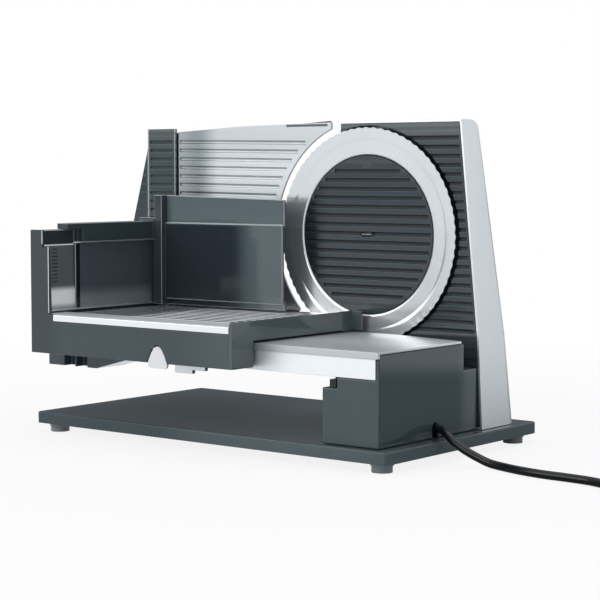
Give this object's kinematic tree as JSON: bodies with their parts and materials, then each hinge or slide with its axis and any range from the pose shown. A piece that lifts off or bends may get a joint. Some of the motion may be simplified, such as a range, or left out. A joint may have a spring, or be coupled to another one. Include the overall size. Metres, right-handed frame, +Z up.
{
  "type": "food slicer",
  "caption": "Electric kitchen slicer: serrated disc blade on a tower, sliding food carriage with pusher, adjustable stop plate, base plate on feet, mains lead and plug.",
  "frame": {"origin": "centre of the footprint on the table, under the feet, without the mains lead", "axes": "+X along the rail to the tower's side, +Y away from the food side, +Z up"},
  "size_m": [0.7188, 0.224, 0.2536],
  "materials": {
    "gloss_plate": "glossy anthracite",
    "rubber": "matt",
    "anthracite": "satin, fine grain",
    "aluminium": "satin",
    "steel": "polished",
    "brass": "plain",
    "gear_plastic": "natural",
    "magnet": "ferrite",
    "smoke": "clear smoke",
    "clear": "clear",
    "black": "satin",
    "cord": "satin"
  },
  "bodies": {
    "machine": {"base_plate": "gloss_plate", "foot_front_left": "rubber", "foot_front_right": "rubber", "foot_rear_left": "rubber", "foot_rear_right": "rubber", "column_housing": "anthracite", "rail_beam": "anthracite", "rail_end_block": "anthracite", "tower_panel": "anthracite", "stop_frame": "anthracite", "rail": "aluminium", "rail_bracket": "aluminium", "tower_shell": "aluminium", "gearbox_plate": "aluminium", "motor_can": "steel", "blade_axle": "steel", "guide_rod_low": "steel", "guide_rod_high": "steel", "upper_bearing": "brass", "plug_pin_near": "brass", "plug_pin_far": "brass", "motor_magnet_left": "magnet", "motor_magnet_right": "magnet", "motor_bell": "black", "switch_body": "black", "strain_relief": "black", "cord_clamp": "black", "plug_body": "black", "cord_lead": "cord", "cord_coil": "cord", "cord_tail": "cord"},
    "catch": {"column_catch": "black"},
    "motor": {"motor_rotor": "brass", "worm_shaft": "steel"},
    "blade": {"blade": "steel", "blade_screw_1": "steel", "blade_screw_2": "steel", "blade_screw_3": "steel", "worm_gear": "gear_plastic", "blade_bush": "brass", "blade_cover": "anthracite"},
    "lock": {"cover_lock": "black"},
    "button": {"switch_button": "black"},
    "stop": {"stop_plate": "aluminium", "stop_carrier": "black"},
    "knob": {"stop_spindle": "steel", "thickness_knob": "black"},
    "carriage": {"carriage_frame": "anthracite", "tray": "aluminium", "scale_window": "clear", "window_cap": "black", "side_wall": "smoke", "wall_top_rail": "anthracite", "runner_left": "black", "runner_right": "black", "glide_strip": "black"},
    "pusher": {"pusher_column": "black", "pusher_panel": "smoke"},
    "lever": {"carriage_lever": "aluminium"}
  },
  "joints": [
    {"name": "blade_spin", "type": "hinge", "parent": "machine", "child": "blade", "pos_m": [0.06875, 0.04035, 0.1631], "axis": [0, 1, 0], "continuous": true},
    {"name": "motor_spin", "type": "hinge", "parent": "machine", "child": "motor", "pos_m": [0.10675, 0.06585, 0.1631], "axis": [0, 0, 1], "continuous": true},
    {"name": "lock_tilt", "type": "hinge", "parent": "blade", "child": "lock", "pos_m": [0.06875, 0.0433, 0.1631], "axis": [0, 0, 1], "range_deg": [0, 25]},
    {"name": "button_press", "type": "slide", "parent": "machine", "child": "button", "axis": [0, -1, 0], "range_m": [0, 0.0025], "stiffness_N_per_m": 300},
    {"name": "catch_press", "type": "slide", "parent": "machine", "child": "catch", "axis": [0, 1, 0], "range_m": [0, 0.004], "stiffness_N_per_m": 200},
    {"name": "knob_turn", "type": "hinge", "parent": "machine", "child": "knob", "pos_m": [-0.14885, 0.07935, 0.1614], "axis": [0, 1, 0], "range_deg": [0, 300]},
    {"name": "stop_depth", "type": "slide", "parent": "machine", "child": "stop", "axis": [0, 1, 0], "range_m": [0, 0.02]},
    {"name": "carriage_slide", "type": "slide", "parent": "machine", "child": "carriage", "axis": [1, 0, 0], "range_m": [0, 0.165]},
    {"name": "pusher_slide", "type": "slide", "parent": "carriage", "child": "pusher", "axis": [0, -1, 0], "range_m": [-0.009, 0.086]},
    {"name": "lever_tilt", "type": "hinge", "parent": "carriage", "child": "lever", "pos_m": [-0.01595, -0.11005, 0.0793], "axis": [1, 0, 0], "range_deg": [0, 15]}
  ],
  "couplings": [
    {"joint": "motor_spin", "follows": "blade_spin", "ratio": 48},
    {"joint": "knob_turn", "follows": "stop_depth", "rad_per_m": 261.79}
  ]
}
